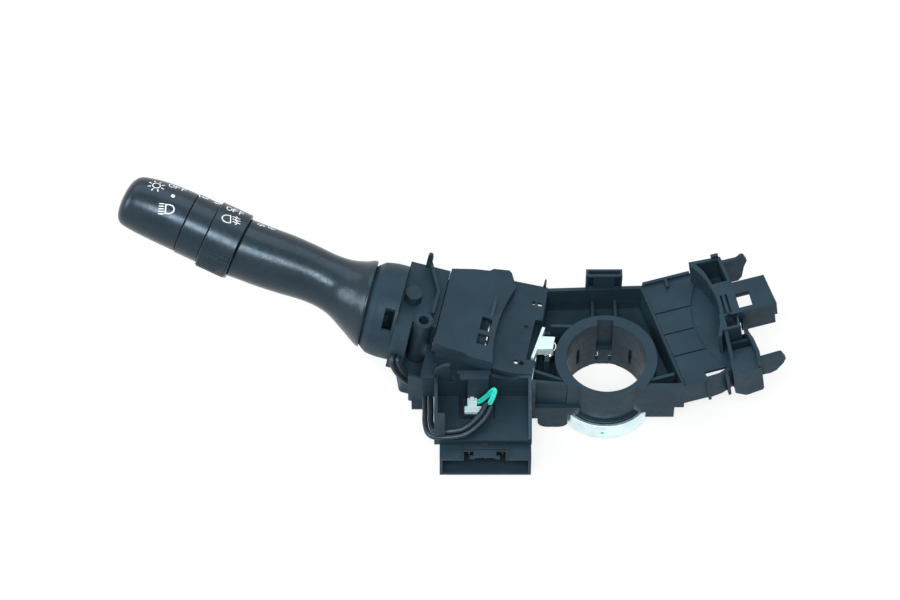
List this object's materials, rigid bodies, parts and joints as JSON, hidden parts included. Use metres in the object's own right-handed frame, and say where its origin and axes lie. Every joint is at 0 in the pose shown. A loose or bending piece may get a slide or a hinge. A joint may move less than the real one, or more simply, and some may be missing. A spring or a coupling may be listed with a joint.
{
  "type": "combination stalk switch",
  "caption": "Steering column switch bracket with a split clamp collar, a light switch lever on the left and an empty bay for the wiper switch on the right.",
  "frame": {"origin": "axis of the column bore at the foot of the collar's fingers", "axes": "+Z along the column towards the driver, +X to the driver's right, towards the empty wiper switch bay, and -Y towards the harness connector"},
  "size_m": [0.3344, 0.1347, 0.0837],
  "materials": {
    "black_plastic": "fine moulded grain",
    "lever_plastic": "satin moulded",
    "grey_plastic": "plain moulded",
    "white_plastic": "natural nylon",
    "zinc_steel": "bright zinc plating",
    "tin_brass": "stamped and bright",
    "steel": "bright",
    "board": "phenolic laminate",
    "black_sheath": "smooth vinyl",
    "green_wire": "turquoise vinyl insulation"
  },
  "bodies": {
    "switch_body": {"column_bracket": "black_plastic", "wiper_switch_bay": "black_plastic", "connector_bay": "black_plastic", "column_clamp": "zinc_steel", "main_connector": "black_plastic", "connector_terminals": "tin_brass", "connector_board": "board", "aux_header": "black_plastic", "aux_plug": "white_plastic", "aux_wires": "green_wire", "lead_sheath": "black_sheath", "switch_case": "black_plastic", "case_top_plate": "black_plastic", "neck_hood": "black_plastic", "switch_cover": "black_plastic", "module_screws": "steel", "turn_contact_board": "board", "turn_detent_leaf": "steel", "pawl_pin": "steel", "pawl_spring": "steel"},
    "turn_swivel_body": {"turn_carrier": "grey_plastic", "rock_pin": "steel", "turn_wiper": "tin_brass", "dimmer_contact_leaf": "tin_brass"},
    "lever_body": {"lever_core": "black_plastic", "lever_shell": "lever_plastic", "lever_contact_block": "grey_plastic", "marker_ring": "lever_plastic"},
    "fog_ring_body": {"fog_ring": "lever_plastic", "fog_sleeve": "black_plastic", "fog_wiper": "tin_brass"},
    "end_knob_body": {"end_knob": "lever_plastic", "knob_shaft": "grey_plastic", "knob_wiper": "tin_brass"},
    "pawl_body": {"cancel_pawl": "white_plastic"}
  },
  "joints": [
    {"name": "turn_swivel", "type": "hinge", "parent": "switch_body", "child": "turn_swivel_body", "pos_m": [-0.09878, 0.02629, 0.03476], "axis": [0.1329, -0.0275, 0.9907], "range_deg": [-9, 9], "deforming": ["turn_detent_leaf"]},
    {"name": "dimmer_rock", "type": "hinge", "parent": "turn_swivel_body", "child": "lever_body", "pos_m": [-0.09878, 0.02629, 0.03476], "axis": [0.2028, 0.9792, 0], "range_deg": [-5, 6], "stiffness_Nm_per_rad": 8},
    {"name": "fog_ring_turn", "type": "hinge", "parent": "lever_body", "child": "fog_ring_body", "pos_m": [-0.12207, 0.03111, 0.03802], "axis": [-0.9084, 0.3469, 0.2334], "range_deg": [0, 30]},
    {"name": "knob_turn", "type": "hinge", "parent": "lever_body", "child": "end_knob_body", "pos_m": [-0.12207, 0.03111, 0.03802], "axis": [-0.9084, 0.3469, 0.2334], "range_deg": [0, 50]},
    {"name": "cancel_pawl_turn", "type": "hinge", "parent": "switch_body", "child": "pawl_body", "pos_m": [-0.0284, 0.0112, 0.03], "axis": [0, 0, 1], "range_deg": [-10, 10], "stiffness_Nm_per_rad": 0.01, "deforming": ["pawl_spring"]}
  ]
}
